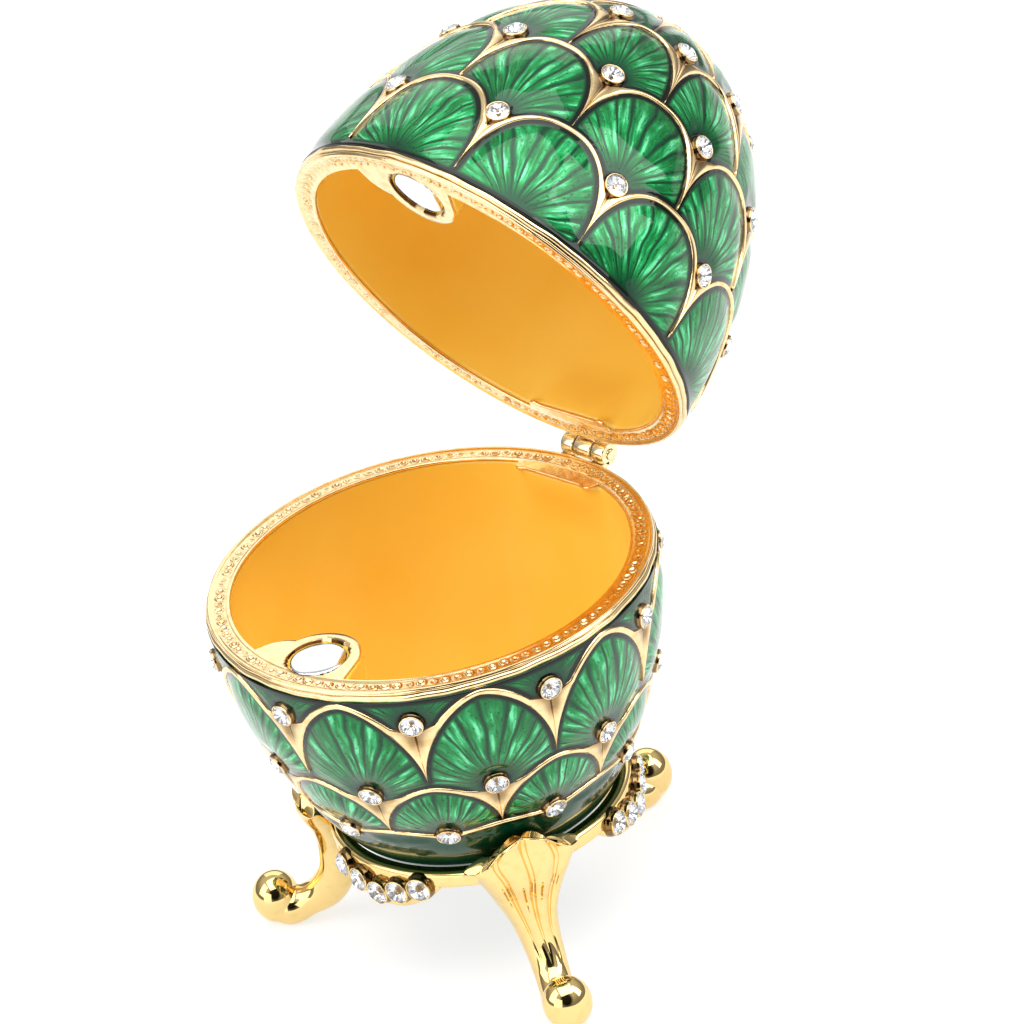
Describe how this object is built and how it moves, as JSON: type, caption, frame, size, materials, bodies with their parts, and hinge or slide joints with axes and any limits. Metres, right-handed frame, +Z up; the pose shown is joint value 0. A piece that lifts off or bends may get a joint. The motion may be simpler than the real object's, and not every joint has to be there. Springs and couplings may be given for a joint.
{
  "type": "egg trinket box",
  "caption": "Enamelled egg-shaped trinket box with a hinged lid held open, crystal-set gold scale pattern and a three-legged gold stand.",
  "frame": {"origin": "on the surface the box stands on, under the middle of the bounding box of the box with its lid open", "axes": "+Z up along the bowl's axis, -Y towards the opening side with the magnets, +Y towards the hinge"},
  "size_m": [0.046, 0.0716, 0.0888],
  "materials": {
    "green_enamel": "glossy translucent green enamel over gold",
    "orange_enamel": "glossy opaque orange enamel lining",
    "casting_gold": "polished champagne gold plating",
    "stand_gold": "bright polished gold plating",
    "hinge_gold": "polished pale gold plating",
    "magnet_nickel": "bright nickel plating",
    "crystal": "clear faceted crystal on dark foil"
  },
  "bodies": {
    "base": {"base_shell": "green_enamel", "stand": "stand_gold", "base_magnet": "magnet_nickel", "hinge_leaf_base": "hinge_gold", "hinge_pin": "hinge_gold", "swag_stones_front": "crystal", "swag_stones_right": "crystal", "swag_stones_left": "crystal", "base_stone_1_01": "crystal", "base_stone_1_02": "crystal", "base_stone_1_03": "crystal", "base_stone_1_04": "crystal", "base_stone_1_05": "crystal", "base_stone_1_06": "crystal", "base_stone_1_07": "crystal", "base_stone_1_08": "crystal", "base_stone_1_09": "crystal", "base_stone_1_10": "crystal", "base_stone_2_01": "crystal", "base_stone_2_02": "crystal", "base_stone_2_03": "crystal", "base_stone_2_04": "crystal", "base_stone_2_05": "crystal", "base_stone_2_06": "crystal", "base_stone_2_07": "crystal", "base_stone_2_08": "crystal", "base_stone_2_09": "crystal", "base_stone_2_10": "crystal"},
    "lid": {"lid_shell": "green_enamel", "lid_magnet": "magnet_nickel", "hinge_leaf_lid": "hinge_gold", "lid_stone_apex": "crystal", "lid_stone_1_01": "crystal", "lid_stone_1_02": "crystal", "lid_stone_1_03": "crystal", "lid_stone_1_04": "crystal", "lid_stone_1_05": "crystal", "lid_stone_1_06": "crystal", "lid_stone_1_07": "crystal", "lid_stone_1_08": "crystal", "lid_stone_1_09": "crystal", "lid_stone_1_10": "crystal", "lid_stone_2_01": "crystal", "lid_stone_2_02": "crystal", "lid_stone_2_03": "crystal", "lid_stone_2_04": "crystal", "lid_stone_2_05": "crystal", "lid_stone_2_06": "crystal", "lid_stone_2_07": "crystal", "lid_stone_2_08": "crystal", "lid_stone_2_09": "crystal", "lid_stone_2_10": "crystal"}
  },
  "joints": [
    {"name": "lid_hinge", "type": "hinge", "parent": "base", "child": "lid", "pos_m": [0, 0.01176, 0.041], "axis": [-1, 0, 0], "range_deg": [-67.2, 0]}
  ]
}
